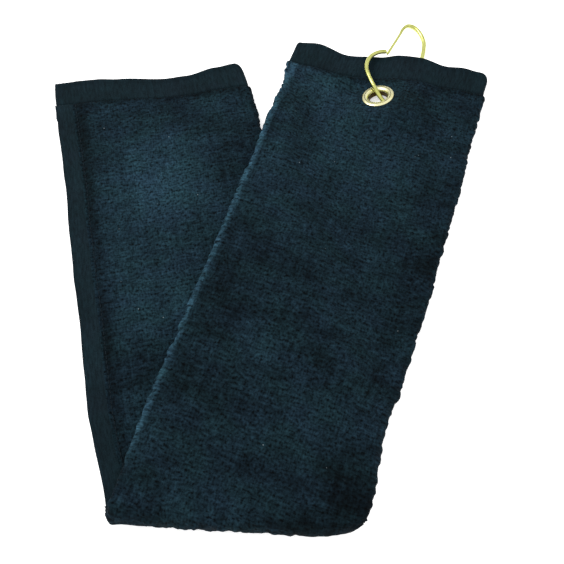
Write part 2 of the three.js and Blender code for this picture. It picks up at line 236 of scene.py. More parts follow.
# %% Lay of each leg
def plan(leg, s, v):
    """Place on the table, in millimetres from the middle of the fold line."""
    x = s * math.cos(LEAN) + SIGN[leg] * v * math.sin(LEAN) + SIGN[leg] * BEND_SHIFT / 2
    y = v * math.cos(LEAN) - SIGN[leg] * s * math.sin(LEAN)
    return x, y


def front_base(across, along):
    """Height of the front leg's underside: on the rear leg, then sinking, with a ridge over the wire."""
    x, y = plan("front", EYELET_ACROSS + across, EYELET_V + along)
    edge_x, edge_y = plan("rear", HALF_WIDTH, 0.0)
    past = (x - edge_x) * math.cos(LEAN) + (y - edge_y) * math.sin(LEAN)
    resting = (STACK + LAYER_GAP) * (1 - clamp_step(8, 44, past))
    side = 1 - clamp_step(4, 34, np.abs(across - 20.5))
    return np.maximum(resting, HOOK_LIFT * side * clamp_step(-40, -6, along))


def lay(leg, s, v, h, stack, puff):
    """Points in metres for strip coordinates in millimetres. puff swells the stack a little."""
    x, y = plan(leg, s, v)
    if leg == "rear":
        z = h * puff
    else:
        across, along = s - EYELET_ACROSS, v - EYELET_V
        crimp = 1 - clamp_step(12.5, 34, np.hypot(across, along))
        pressed = EYELET[2] / MM + FACE_ACROSS * across + FACE_ALONG * along - CRIMPED_CLOTH / 2
        base = np.maximum(0, blend_to(front_base(across, along), pressed, crimp))
        height = blend_to(stack * puff, CRIMPED_CLOTH, crimp)
        z = base + height * (1 - h / stack)
    return np.stack([x + HINGE[0] / MM, y + HINGE[1] / MM, np.maximum(z, 0.02)], -1) * MM


def round_fold(s, h, turn):
    """Points of the fold across, turn running from 0 on the rear leg to 1 on the front one."""
    # each end of the fold is pinched, so from above its corners are round
    reach = np.where(s > 0, 30, 9)
    corner = np.clip((np.abs(s) - HALF_WIDTH + reach) / reach, 0, 1)
    radius = (HINGE_HEIGHT - h) * np.ones_like(turn)
    x = s / math.cos(LEAN) + BEND_SHIFT * (turn - 0.5)
    y = -radius * np.sin(math.pi * turn) * np.sqrt(1 - 0.9 * corner**2)
    z = HINGE_HEIGHT - radius * np.cos(math.pi * turn)
    return np.stack([x + HINGE[0] / MM, y + HINGE[1] / MM, np.maximum(z, 0.02)], -1) * MM


# %% [markdown]
# ## The section across the strip
# A line through the middle of the cloth runs along the inner flap, round the left fold, along the middle
# panel, round the right fold and along the outer flap. Only the face that shows needs fine columns: the
# terry's clumps are about three millimetres across, so 1.25 mm keeps them, and hidden layers can be coarse.

# %% Columns and the folded section
INNER, LEFT_FOLD, MIDDLE, RIGHT_FOLD, OUTER = range(5)


def columns(spans):
    """Segment index and fraction along it for every column, from (segment, number of spans) pairs."""
    segment, fraction = [], []
    for index, count in spans:
        steps = np.arange(count) / count
        segment += [index] * count
        fraction += list(steps)
    return np.array(segment + [OUTER]), np.array(fraction + [1.0])


def section(segment, f, layer, half):
    """Middle line of the folded strip: s, h and the normal, pointing to the inside of the roll."""
    pitch = layer + LAYER_GAP
    low = layer / 2
    left, right = -half + (layer + pitch) / 2, half - layer / 2 - pitch
    inner_edge, outer_edge = half - 2 * layer, -half + LAYER_GAP
    left_turn, right_turn = math.pi * (0.5 + f), math.pi * (f - 0.5)
    cases = [segment == i for i in range(5)]
    s = np.select(cases, [
        blend_to(inner_edge, left, f), left + pitch / 2 * np.cos(left_turn), blend_to(left, right, f),
        right + pitch * np.cos(right_turn), blend_to(right, outer_edge, f)])
    h = np.select(cases, [
        low + pitch, low + pitch / 2 + pitch / 2 * np.sin(left_turn), low,
        low + pitch + pitch * np.sin(right_turn), low + 2 * pitch])
    normal_s = np.select(cases, [0, -np.cos(left_turn), 0, -np.cos(right_turn), 0])
    normal_h = np.select(cases, [-1, -np.sin(left_turn), 1, -np.sin(right_turn), -1])
    return s, h, normal_s, normal_h


SEGMENT_LENGTHS = np.array([126.8, 4.9, 127.9, 9.7, 130.5])  # the same five parts, laid flat
CLOTH_WIDTH = SEGMENT_LENGTHS.sum()  # between the finished side edges
FOLD_LINES = (129.2, 264.4)  # the two lengthwise folds, on the flat cloth


def developed(segment, f):
    """Distance across the flat cloth, from the inner flap's free edge."""
    starts = np.concatenate([[0], np.cumsum(SEGMENT_LENGTHS)[:-1]])
    return starts[segment] + f * SEGMENT_LENGTHS[segment]


print("section at mid strip", [round(float(x), 2) for x in section(MIDDLE, 0.5, PILE, HALF_WIDTH)])

# %% [markdown]
# ## Thickness, edges and pile
# Near each end the thick pile stops at a row of stitches, which pulls the cloth into a narrow valley, and
# the turned hem beyond it is thin and flat-woven. The free side edge has the same kind of hem, with ribs
# along it. A used towel's edges are never straight, so the widths and ends get small, slow waves.

# %% Thickness profile and waves
def thickness(to_end):
    """One layer's thickness at a distance from the strip's end."""
    valley = (HEM - SEAM) * np.exp(-(((to_end - END_HEM) / 1.1) ** 2))
    rolled = 0.25 * (1 - clamp_step(1, 4, to_end))
    return HEM + (PILE - HEM) * clamp_step(END_HEM + 0.5, END_HEM + 3.2, to_end) - valley + rolled


def edge_shift(leg, s, v, to_end):
    """How far the strip's sides stray from straight: drawn in at the hems and corners, wavy elsewhere."""
    corner = np.clip((6 - to_end) / 6, 0, 1)
    rounded = np.where(s > 0, 3.0, 1.2) * (1 - np.sqrt(1 - 0.99 * corner**2))
    hem = 1 - clamp_step(END_HEM - 1, END_HEM + 5, to_end)
    flare = (2.2 if leg == "front" else 0.6) * clamp_step(55, 10, to_end)
    flare += (2.4 if leg == "front" else 0.0) * clamp_step(40, 32, to_end)
    right = -HEM_INSET * hem - rounded + soft_interpolate(v, SIDE_WAVE[leg])
    left = rounded - flare + FOLD_NARROWING[leg] * clamp_step(LENGTH[leg] - 55, LENGTH[leg], to_end)
    return right * clamp_step(15, 62, s) + left * clamp_step(15, 62, -s)


FOLD_NARROWING = {"rear": 3.6, "front": 2.6}  # how far the left side draws in towards the fold across
# how far the end hems stand out from a straight line, as (s, millimetres) knots
END_WAVE = {
    "rear": [(-68, -1.2), (-49, -0.7), (-38, -0.7), (-22, -2.4), (10, -6.0), (24, -5.2), (46, -0.3),
             (60, 1.6), (68, 0.6)],
    "front": [(-70, 2.0), (-58, 3.4), (-33, -3.4), (-12, -0.8), (2, 2.1), (16, 1.9), (34, -1.3), (48, 1.2),
              (58, -0.3), (68, -1.8)],
}
# how far the right side stands out, as (v, millimetres) knots
SIDE_WAVE = {
    "rear": [(-20, 0), (340, 0)],
    "front": [(-20, 0), (30, 0.8), (52, -1.3), (78, -2.6), (98, -0.6), (118, 0.6), (150, 0.9), (190, 0.8),
              (340, 0.6)],
}


def soft_interpolate(x, knots):
    """Smooth curve through (place, value) knots."""
    places, values = np.array(knots, float).T
    i = np.clip(np.searchsorted(places, x) - 1, 0, len(places) - 2)
    t = clamp_step(0, 1, (x - places[i]) / (places[i + 1] - places[i]))
    return blend_to(values[i], values[i + 1], t)


def end_of(leg, s, to_end=0.0):
    """v at a leg's end. The edge's waves are softer at the seam than at the edge itself."""
    wave = soft_interpolate(s, END_WAVE[leg]) * (1 - 0.55 * clamp_step(2, 24, to_end))
    return LENGTH[leg] + s * END_SLOPE[leg] + wave


def start_of(leg, s):
    return SIGN[leg] * s * math.tan(LEAN)


def side_hem(c):
    """1 on the outer flap's turned side hem, 0 on the pile."""
    return clamp_step(CLOTH_WIDTH - SIDE_HEM - 1.5, CLOTH_WIDTH - SIDE_HEM, c)


def pile_height(c, length):
    """How far the pile stands out from its even face: clumps of loops, tufts and soft swells."""
    clumps = 0.34 * cloth_noise(c, length, 2.4, 2.4, 3) + 0.20 * cloth_noise(c, length, 6.5, 5.5, 4)
    rippled = clamp_step(-0.1, 0.5, cloth_noise(c, length, 47, 42, 6))  # ripples come and go
    ripples = 0.16 * cloth_noise(c, length, 17, 3.4, 5) * rippled
    return clumps + ripples + 0.25 * cloth_noise(c, length, 34, 27, 7)


print("a layer's thickness on the hem, seam and pile", thickness(np.array([10.0, 20.0, 60.0])).round(2))

# %% [markdown]
# ## Building the three pieces of cloth
# The towel is one cloth, but the strip must open at the fold, so it's made as a rear piece, a front piece
# and the bend between them, which share their edges exactly. Each is a closed skin: the outside face, the
# inside face and the edges that join them. The eyelet's hole goes through all three layers of the front.

# %% Faces of the cloth
HOLE_EDGE = 7.7  # radius of the hole through the cloth, inside the flange


def relief(c, along, layer, pile):
    """How far the outside face stands out from the cloth's even thickness. pile is 0 on an end hem."""
    hem = side_hem(c)
    # loops spread apart and stand up on the folds
    side_fold = np.minimum(abs(c - FOLD_LINES[0]), abs(c - FOLD_LINES[1]))
    cross_fold = abs(along + BEND_LENGTH / 2)
    loose = np.maximum(0.75 * clamp_step(9, 4, side_fold), 0.6 * clamp_step(16, 8, cross_fold))
    tufts = loose * cloth_noise(c, along, 2.2, 2.2, 11) * pile
    ribs = 0.16 * np.cos(2 * math.pi * (CLOTH_WIDTH - c) / 2.4) - 0.45 * layer / PILE
    valley = 0.9 * np.exp(-(((CLOTH_WIDTH - c - SIDE_HEM - 1.6) / 1.5) ** 2)) * pile
    return tufts + pile_height(c, along) * pile * (1 - hem) + ribs * hem - valley


def leg_face(leg, segment, fraction, to_end, inside):
    """Points of one face of a leg's cloth and its flat coordinates. Rows run from the end to the fold."""
    segment, f = segment[None, :], fraction[None, :]
    to_end = np.asarray(to_end, float)[:, None]
    layer = thickness(to_end)
    s, h, normal_s, normal_h = section(segment, f, layer, HALF_WIDTH)
    nominal = LENGTH[leg]
    stretched = lambda s: end_of(leg, s, to_end) - to_end - (
        end_of(leg, s, to_end) - start_of(leg, s) - nominal) * clamp_step(30, nominal, to_end)
    v = stretched(s)
    c = developed(segment, f) * np.ones_like(s)
    along = v if leg == "front" else -v - BEND_LENGTH
    pile = clamp_step(END_HEM + 0.5, END_HEM + 3.5, to_end) * np.ones_like(s)
    stand = relief(c, along, layer, pile)
    if leg == "front":
        stand = stand * clamp_step(9, 15, np.hypot(s - EYELET_ACROSS, v - EYELET_V))
        stand -= 0.45 * np.exp(-(((v - 105 - 0.393 * s) / 3.0) ** 2)) * pile
    offset = -layer / 2 if inside else layer / 2 + stand
    s, h = s - normal_s * offset, h - normal_h * offset
    loose = clamp_step(nominal, nominal - 28, to_end)  # the fold holds the cloth still
    at_edge = clamp_step(0.4, 1.0, np.abs(s) / HALF_WIDTH) * np.where(s > 0, 1.0, 0.55)
    side = 90 + 40 * np.sign(s)
    wave = 1.1 * cloth_noise(side, along, 40, 31, 8) + 0.6 * cloth_noise(side, along, 40, 11, 9)
    s = s + np.sign(s) * at_edge * wave * loose + edge_shift(leg, s, v, to_end)
    puff = 1 + 0.055 * cloth_noise(s + 200, v + 400, 45, 60, 10) * loose
    return lay(leg, s, stretched(s), h, 3 * layer + 2 * LAYER_GAP, puff), c, along, s, v


def bend_face(segment, fraction, turns, inside):
    """The same for the fold across, its rows running from the rear leg to the front one."""
    segment, f, turn = segment[None, :], fraction[None, :], turns[:, None]
    s, h, normal_s, normal_h = section(segment, f, PILE, HALF_WIDTH)
    c = developed(segment, f) * np.ones_like(turn)
    along = s * math.tan(LEAN) - BEND_LENGTH * (1 - turn)
    offset = -PILE / 2 if inside else PILE / 2 + relief(c, along, PILE, np.ones_like(c))
    s, h = s - normal_s * offset, h - normal_h * offset
    s = s + edge_shift("front", s, 0.0 * s, LENGTH["front"])
    return round_fold(s, h, turn), c, along, s


# %% [markdown]
# ## Nap: the pile's tone, with painted light and shade
# Brushing a pile one way makes it look lighter under the light, and the other way darker, so the lightness
# worked out here is painted light and shade, together with the pile's own uneven tone. It is worked out on
# the cloth: broad soft patches, lines of loops down the cloth, short ripples across it, painted bright
# patches and painted shade at set places, a painted shadow in the valleys along the end seam and the side
# hem, and a painted highlight on a pale rim where the front leg's left fold turns to the light.

# %% Pile tone, with painted light and shade
def spot(s, v, centre, size):
    """A soft round patch on a leg, 1 at its middle."""
    return np.exp(-(((s - centre[0]) / size[0]) ** 2) - ((v - centre[1]) / size[1]) ** 2)


def tone_and_painted_light_of(leg, s, v, c, along, to_end):
    """Lightness of the cloth, 1 on even pile: its own uneven tone, with painted light and shade."""
    pile_tone_and_painted_light = 1 + 0.34 * cloth_noise(c, along, 36, 30, 21) + 0.24 * cloth_noise(c, along, 13, 8, 22)
    pile_tone_and_painted_light += 0.20 * cloth_noise(c, along, 2.0, 30, 23) + 0.22 * cloth_noise(c, along, 8, 2.1, 24)
    if leg == "rear":
        # painted light and shade on the rear leg: two bright patches where the light falls, and darker shade
        # towards the fold, along the left side and in one patch near the end on the right
        pile_tone_and_painted_light += 1.0 * spot(s, v, (-6, 212), (30, 40)) + 0.30 * spot(s, v, (-12, 138), (30, 24))
        pile_tone_and_painted_light -= 0.12 * clamp_step(110, 20, v) + 0.12 * clamp_step(-34, -50, s)
        pile_tone_and_painted_light -= 0.30 * spot(s, v, (38, 290), (26, 22))
    else:
        # painted light and shade on the front leg: a bright patch near the end on the left, and darker shade
        # towards the fold
        pile_tone_and_painted_light += 0.45 * spot(s, v, (-38, 290), (34, 50)) - 0.22 * clamp_step(170, 0, v)
        # painted highlight: a pale mottled rim along the front leg's left fold, where it turns to the light
        rim = 1.9 + 0.9 * cloth_noise(c, along, 2.5, 2.5, 28)
        pile_tone_and_painted_light += rim * clamp_step(-62.0, -66.0, s) * clamp_step(0, 16, v)
        # painted shade: the right part of the front leg, where it slopes down towards the table, is darker
        pile_tone_and_painted_light -= 0.30 * clamp_step(20, 60, s)
    from_seam = to_end - END_HEM
    ragged = from_seam + 1.5 * cloth_noise(c, along, 3, 3, 27)  # the pile's edge along the seam is uneven
    # painted shadow: the pile is darker in the valley along the end seam, out to an uneven edge
    pile_tone_and_painted_light *= 1 - 0.6 * clamp_step(8, 1.5, ragged) * clamp_step(-0.5, 1.0, from_seam)
    # painted shadow: the pile is darker in the valley beside the side hem
    from_side = CLOTH_WIDTH - c - SIDE_HEM
    pile_tone_and_painted_light *= 1 - 0.5 * clamp_step(10, 3, from_side) * clamp_step(-0.3, 1.0, from_side)
    woven = 1.0 + 0.16 * cloth_noise(c, along, 22, 16, 25) + 0.20 * cloth_noise(c, along, 1.5, 24, 26)
    on_hem = np.maximum(1 - clamp_step(-0.5, 0.5, from_seam), clamp_step(0.5, -0.5, from_side))
    return np.maximum(blend_to(pile_tone_and_painted_light, woven, on_hem), 0.25) * np.ones_like(c)


sample = tone_and_painted_light_of("rear", np.zeros(1), np.full(1, 200.0), np.full(1, 300.0), np.full(1, -200.0), 110.0)
print("nap at the middle of the rear leg", sample.round(2))


# %% Skins
def skin(name, outside, inside, c, along, tone_and_painted_light, hem_rows=0, hole=None, cut_rows=()):
    """A closed skin from two matching grids. Edges along cut_rows are sharp, so neighbours join unseen."""
    rows, cols = c.shape
    count = rows * cols
    index = np.arange(count).reshape(rows, cols)
    quads = np.stack([index[:-1, :-1], index[:-1, 1:], index[1:, 1:], index[1:, :-1]], -1)
    keep = np.ones((rows - 1, cols - 1), bool) if hole is None else ~hole
    faces = [quads[keep], quads[keep][:, ::-1] + count]
    around = np.pad(keep, 1)
    walls = [
        (around[:-2, 1:-1], index[:-1, 1:], index[:-1, :-1]),
        (around[2:, 1:-1], index[1:, :-1], index[1:, 1:]),
        (around[1:-1, :-2], index[:-1, :-1], index[1:, :-1]),
        (around[1:-1, 2:], index[1:, 1:], index[:-1, 1:]),
    ]
    for neighbour, a, b in walls:
        a, b = a[keep & ~neighbour], b[keep & ~neighbour]
        faces.append(np.stack([a, b, b + count, a + count], -1))
    faces = np.concatenate(faces)
    points = np.concatenate([outside.reshape(-1, 3), inside.reshape(-1, 3)])
    used, faces = np.unique(faces, return_inverse=True)
    faces = faces.reshape(-1, 4)
    piece = new_piece(name, points[used], faces)
    ends = np.empty(2 * len(piece.data.edges), np.int32)
    piece.data.edges.foreach_get("vertices", ends)
    edge_rows = (used % count // cols)[ends].reshape(-1, 2)
    sharp = np.isin(edge_rows, cut_rows).all(1)
    piece.data.attributes.new("sharp_edge", "BOOLEAN", "EDGE").data.foreach_set("value", sharp)
    depth = np.where(used >= count, 50.0, 0.0)  # the inside face takes its pattern from elsewhere
    flat = np.stack([c.ravel()[used % count], along.ravel()[used % count], depth], -1)
    attribute = piece.data.attributes.new("cloth", "FLOAT_VECTOR", "POINT")
    attribute.data.foreach_set("vector", flat.ravel())
    attribute = piece.data.attributes.new("tone_and_painted_light", "FLOAT", "POINT")
    attribute.data.foreach_set("value", tone_and_painted_light.ravel()[used % count].astype(np.float32))
    corner_row, corner_c = (used % count // cols)[faces], flat[:, 0][faces]
    woven = (corner_row < hem_rows).all(1) | (corner_c > CLOTH_WIDTH - SIDE_HEM).all(1)
    piece.data.polygons.foreach_set("material_index", woven.astype(int))
    return piece


FINE = 1.25
hem_lines = np.arange(0, 27, 0.75)
show_outer = columns([(INNER, 14), (LEFT_FOLD, 6), (MIDDLE, 26), (RIGHT_FOLD, 12), (OUTER, 104)])
show_middle = columns([(INNER, 14), (LEFT_FOLD, 6), (MIDDLE, 102), (RIGHT_FOLD, 12), (OUTER, 26)])
print("columns", len(show_outer[0]), len(show_middle[0]), "at", FINE, "mm on the faces that show")

# %% Rear leg, bend and front leg
cloth = {}
for leg, (segment, fraction) in (("rear", show_outer), ("front", show_middle)):
    lines = np.concatenate([hem_lines, np.linspace(27, LENGTH[leg], round((LENGTH[leg] - 27) / FINE))])
    outside, c, along, s, v = leg_face(leg, segment, fraction, lines, inside=False)
    inside = leg_face(leg, segment, fraction, lines, inside=True)[0]
    hole = None
    if leg == "front":
        reach = np.hypot(s - EYELET_ACROSS, v - EYELET_V)
        near = reach < HOLE_EDGE - 0.4
        hole = near[:-1, :-1] | near[:-1, 1:] | near[1:, 1:] | near[1:, :-1]
        # points left on the rim of the hole move on to the circle
        rim = np.zeros_like(near)
        for rows, cols in ((slice(0, -1), slice(0, -1)), (slice(0, -1), slice(1, None)),
                           (slice(1, None), slice(0, -1)), (slice(1, None), slice(1, None))):
            rim[rows, cols] |= hole
        pull = np.where(rim & ~near, HOLE_EDGE / np.maximum(reach, 1), 1.0)[..., None]
        for face in (outside, inside):
            face[..., :2] = EYELET[:2] + (face[..., :2] - EYELET[:2]) * pull
    hem_rows = int((hem_lines < END_HEM).sum())
    tone_and_painted_light = tone_and_painted_light_of(leg, s, v, c, along, lines[:, None])
    cloth[leg] = skin(f"towel_{leg}", outside, inside, c, along, tone_and_painted_light, hem_rows, hole, (len(lines) - 1,))
turns = np.linspace(0, 1, 25)
outside, c, along, s = bend_face(*show_middle, turns, inside=False)
inside = bend_face(*show_middle, turns, inside=True)[0]
tone_and_painted_light = tone_and_painted_light_of("bend", s, np.zeros_like(s), c, along, LENGTH["front"])
cloth["bend"] = skin("towel_bend", outside, inside, c, along, tone_and_painted_light, cut_rows=(0, len(turns) - 1))
for piece in cloth.values():
    print(piece.name, len(piece.data.polygons), "faces")

# %% [markdown]
# ## Putting the cloth on its bodies
# Each leg's piece moves with that leg's body, and the bend stays fixed where it is made. All three are parts
# of one flat cloth, 406 by 660 mm, folded.

# %% Bodies
CLOTH_NODES = ("terry", "end_hem", "outer_side_hem", "inner_side_hem")
for leg in ("rear", "front"):
    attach(cloth[leg], f"{leg}_leg")
    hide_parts(*(f"{leg}_{part}" for part in CLOTH_NODES))
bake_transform(cloth["bend"])
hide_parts("mid_fold")
print("cloth rides on rear_leg and front_leg")

# %% [markdown]
# ## Stitches
# The turned hems are held by lockstitch, about eight stitches an inch, in thread dyed to match. Each stitch
# is a short rounded pillow of thread that sits in the valley it has pulled. Single stitches are only just
# visible, but they break up the valley's shadow the way a real seam does.

# %% Stitch rows
STITCH_LENGTH, STITCH_PITCH, STITCH_RADIUS = 2.4, 3.1, 0.33


def pillow(radius, length, sides=8, rings=6):
    """Points and faces of a rounded stitch along +X, standing on z = 0."""
    t = np.linspace(0, math.pi, rings + 1)
    around = np.arange(sides) * 2 * math.pi / sides
    x = -np.cos(t) * length / 2
    r = radius * np.sqrt(np.clip(np.sin(t), 0.02, 1))
    points = np.stack([np.repeat(x, sides), np.outer(r, np.cos(around)).ravel(),
                       np.outer(r, np.sin(around)).ravel() + radius * 0.4], -1)
    faces = [[i * sides + j, i * sides + (j + 1) % sides, (i + 1) * sides + (j + 1) % sides,
              (i + 1) * sides + j] for i in range(rings) for j in range(sides)]
    faces += [list(range(sides))[::-1], list(range(rings * sides, (rings + 1) * sides))]
    return points, faces


def stitch_rows(name, rows):
    """One mesh of stitches along several rows, each (points on the cloth, upward directions)."""
    points, faces, shape = [], [], pillow(STITCH_RADIUS * MM, STITCH_LENGTH * MM)
    for path, up in rows:
        step = np.concatenate([[0], np.cumsum(np.linalg.norm(np.diff(path, axis=0), axis=1))])
        spots = np.arange(STITCH_PITCH * MM, step[-1] - STITCH_PITCH * MM, STITCH_PITCH * MM)
        place = lambda d: np.stack([np.interp(d, step, path[:, k]) for k in range(3)], -1)
        for spot in spots:
            forward = place(spot + 1 * MM) - place(spot - 1 * MM)
            forward /= np.linalg.norm(forward)
            normal = np.array([np.interp(spot, step, up[:, k]) for k in range(3)])
            normal -= forward * (normal @ forward)
            normal /= np.linalg.norm(normal)
            turned = shape[0] @ np.stack([forward, np.cross(normal, forward), normal])
            base = len(points) * len(shape[0])
            stitch = turned + place(spot)
            stitch[:, 2] = np.maximum(stitch[:, 2], 0.02 * MM)
            points.append(stitch)
            faces += [[base + i for i in face] for face in shape[1]]
    return new_piece(name, np.concatenate(points), faces)


def row_on(leg, segment, fraction, to_end):
    """Points on the cloth's outside face, and its outward direction, along a row or a column."""
    outer, *_ = leg_face(leg, segment, fraction, to_end, inside=False)
    inner, *_ = leg_face(leg, segment, fraction, to_end, inside=True)
    return outer.reshape(-1, 3), (outer - inner).reshape(-1, 3)


for leg in ("rear", "front"):
    across = columns([(INNER, 40), (LEFT_FOLD, 6), (MIDDLE, 40), (RIGHT_FOLD, 10), (OUTER, 40)])
    down = np.linspace(END_HEM + 2, LENGTH[leg] - 2, 200)
    hem_share = (SIDE_HEM + 1.6) / SEGMENT_LENGTHS[OUTER]
    rows = [row_on(leg, *across, np.array([END_HEM])),
            row_on(leg, np.array([OUTER]), np.array([1 - hem_share]), down),
            row_on(leg, np.array([INNER]), np.array([hem_share]), down)]
    stitches = stitch_rows(f"{leg}_stitches", rows)
    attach(stitches, f"{leg}_leg")
    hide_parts(*(f"{leg}_{part}_seam" for part in ("end", "outer_side", "inner_side")))
    cloth[f"{leg}_stitches"] = stitches
    print(stitches.name, len(stitches.data.vertices), "points")

# %% [markdown]
# ## Eyelet
# A brass eyelet is two pressings: a domed flange with a barrel, pushed through from the front, and a flat
# washer at the back over which the barrel's end is rolled. Both are turned about one axis, tilted with the
# cloth. The rounded crown matters: on polished metal it carries the one bright line round the ring.

# %% Eyelet and washer
HOLE_RADIUS, FLANGE_RADIUS, SHEET_METAL, DOME = 6.5, 11.1, 0.5, 0.8
CLOTH_FACE = CRIMPED_CLOTH / 2 + 0.3
across_way = np.array([math.cos(LEAN), -math.sin(LEAN), 0.0])
along_way = np.array([math.sin(LEAN), math.cos(LEAN), 0.0])
eyelet_axis = np.array([0, 0, 1.0]) - FACE_ACROSS * across_way - FACE_ALONG * along_way
eyelet_axis /= np.linalg.norm(eyelet_axis)


TURNED_SIDES = 96


def turned_piece(name, outline, sides=TURNED_SIDES):
    """A solid turned about the eyelet's axis from a closed outline of (radius, height)."""
    first = across_way - eyelet_axis * (across_way @ eyelet_axis)
    first /= np.linalg.norm(first)
    second = np.cross(eyelet_axis, first)
    outline = np.array(outline)
    around = np.arange(sides) * 2 * math.pi / sides
    ring = np.cos(around)[:, None, None] * first + np.sin(around)[:, None, None] * second
    points = outline[None, :, 0, None] * ring + outline[None, :, 1, None] * eyelet_axis
    n = len(outline)
    faces = [[i * n + j, i * n + (j + 1) % n, (i + 1) % sides * n + (j + 1) % n, (i + 1) % sides * n + j]
             for i in range(sides) for j in range(n)]
    return new_piece(name, points.reshape(-1, 3) * MM + EYELET, faces)


def arc(centre, radius_x, radius_y, start, end, steps=8):
    """Points of part of an ellipse in the outline, angles in degrees."""
    angle = np.radians(np.linspace(start, end, steps))
    return [(centre[0] + radius_x * math.cos(a), centre[1] + radius_y * math.sin(a)) for a in angle]


barrel = HOLE_RADIUS + SHEET_METAL
crown = (barrel + FLANGE_RADIUS) / 2
back = -CLOTH_FACE - SHEET_METAL - 0.3
flange = arc((crown, CLOTH_FACE), FLANGE_RADIUS - crown, DOME, 0, 90, 12)
flange += arc((crown, CLOTH_FACE - 1.0), crown - HOLE_RADIUS, DOME + 1.0, 90, 180, 16)
flange += [(HOLE_RADIUS, CLOTH_FACE - 1.6), (HOLE_RADIUS, back + 0.2)]
flange += arc((barrel + 0.2, back), 0.7, SHEET_METAL, 180, 270, 6)
flange += [(crown - 0.2, back - SHEET_METAL)] + arc((crown - 0.2, back - 0.25), 0.2, 0.25, -90, 90, 5)
flange += [(barrel, back), (barrel, CLOTH_FACE - 0.02)]
eyelet = turned_piece("eyelet", flange)
# points of the outline inside the barrel, whose faces get the brass darkened as painted shade
flange_inside_painted_shade = [height < CLOTH_FACE - 0.9 for _, height in flange]
washer_face = -CLOTH_FACE
washer = turned_piece("eyelet_washer", [
    (barrel + 0.3, washer_face), (barrel + 0.3, washer_face - SHEET_METAL)]
    + arc((FLANGE_RADIUS - 0.25, washer_face - 0.25), 0.25, 0.25, -90, 90, 6))
for piece, node_name in ((eyelet, "grommet_eyelet"), (washer, "grommet_washer")):
    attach(piece, "front_leg")
    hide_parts(node_name)
print("flange", 2 * FLANGE_RADIUS, "mm, hole", 2 * HOLE_RADIUS, "mm")

# %% [markdown]
# ## Wire hook
# The hook is bent from one round brass-plated wire: a long bow, a straight arm that ends in a catch, and a
# springy gate arm that passes through the eyelet and snaps on to the catch. Wire keeps its round section
# through bends, so a circle swept along a smooth path with rounded ends is close to the real thing.

# %% Hook and gate
# in the eyelet's plan: across the leg, towards its end, and height above the table
gate_path = [
    (9.5, -2.2, 3.6), (4.7, -0.2, 5.4), (-1.3, 3.8, 7.8), (-5.3, 7.2, 10.1), (-10.9, 14.3, 10.3),
    (-14.6, 21.0, 9.6), (-15.7, 28.4, 9.0), (-14.0, 35.0, 8.4), (-9.9, 39.6, 8.1), (-5.2, 41.9, 7.8)]
hook_path = [
    (9.5, -2.2, 3.6), (12.9, -2.4, 3.3), (17.4, 2.2, 2.2), (21.0, 11.5, 1.75), (22.2, 24.0, 1.6),
    (21.4, 36.0, 1.6), (19.8, 48.0, 1.6), (18.9, 57.0, 1.6), (17.2, 64.3, 1.65), (12.6, 71.4, 1.85),
    (6.8, 75.6, 2.0), (2.2, 75.2, 2.4), (-0.2, 71.0, 3.0), (-1.0, 64.0, 3.9), (-4.1, 44.4, 5.6),
    (-4.9, 41.9, 4.7)]


def spline(points, per_span=14):
    """Centripetal Catmull-Rom curve through the points, and how far along the list each sample is."""
    p = np.array(points, float)
    p = np.concatenate([[2 * p[0] - p[1]], p, [2 * p[-1] - p[-2]]])
    samples, place = [], []
    for i in range(len(p) - 3):
        q = p[i:i + 4]
        k = np.concatenate([[0], np.cumsum(np.linalg.norm(np.diff(q, axis=0), axis=1) ** 0.5)])
        for t in np.linspace(k[1], k[2], per_span, endpoint=False):
            lerp = lambda a, b, ta, tb: ((tb - t) * a + (t - ta) * b) / (tb - ta)
            a = [lerp(q[j], q[j + 1], k[j], k[j + 1]) for j in range(3)]
            b = [lerp(a[j], a[j + 1], k[j], k[j + 2]) for j in range(2)]
            samples.append(lerp(b[0], b[1], k[1], k[2]))
            place.append(i + (t - k[1]) / (k[2] - k[1]))
    return np.array(samples + [p[-2]]), np.array(place + [len(points) - 1])


def wire(name, path, thin=None, start_gap=0.3, sides=20):
    """A round wire along a path in the eyelet's plan. thin gives (place, share of full radius) knots."""
    line, place = spline(path)
    line = line[:, :1] * across_way + line[:, 1:2] * along_way + line[:, 2:] * [0, 0, 1]
    line = EYELET * [1, 1, 0] + MM * line
    step = np.concatenate([[0], np.cumsum(np.linalg.norm(np.diff(line, axis=0), axis=1))])
    radius = WIRE_RADIUS * MM
    round_end = radius * (1 - np.cos(np.linspace(0, math.pi / 2, 7)))  # rings of the rounded ends
    first, last = start_gap * MM, step[-1]
    spots = np.concatenate([first + round_end[:-1], np.linspace(first + radius, last - radius, 320),
                            last - round_end[-2::-1]])
    to_tip = np.minimum(spots - first, last - spots)
    size = np.sqrt(np.clip(1 - (1 - np.clip(to_tip / radius, 0, 1)) ** 2, 0.004, 1))
    if thin:
        size = size * soft_interpolate(np.interp(spots, step, place), thin)
    centre = np.stack([np.interp(spots, step, line[:, k]) for k in range(3)], -1)
    forward = np.gradient(centre, spots, axis=0)
    forward /= np.linalg.norm(forward, axis=1)[:, None]
    upward = np.array([0, 0, 1.0]) - forward * forward[:, 2:]
    upward /= np.linalg.norm(upward, axis=1)[:, None]
    sideways = np.cross(forward, upward)
    angle = np.arange(sides) * 2 * math.pi / sides
    ring = np.cos(angle)[None, :, None] * sideways[:, None] + np.sin(angle)[None, :, None] * upward[:, None]
    points = centre[:, None] + ring * (size * radius)[:, None, None]
    n = len(spots)
    faces = [[i * sides + j, (i + 1) * sides + j, (i + 1) * sides + (j + 1) % sides,
              i * sides + (j + 1) % sides] for i in range(n - 1) for j in range(sides)]
    faces += [list(range(sides)), list(range((n - 1) * sides, n * sides))[::-1]]
    return new_piece(name, points.reshape(-1, 3), faces)


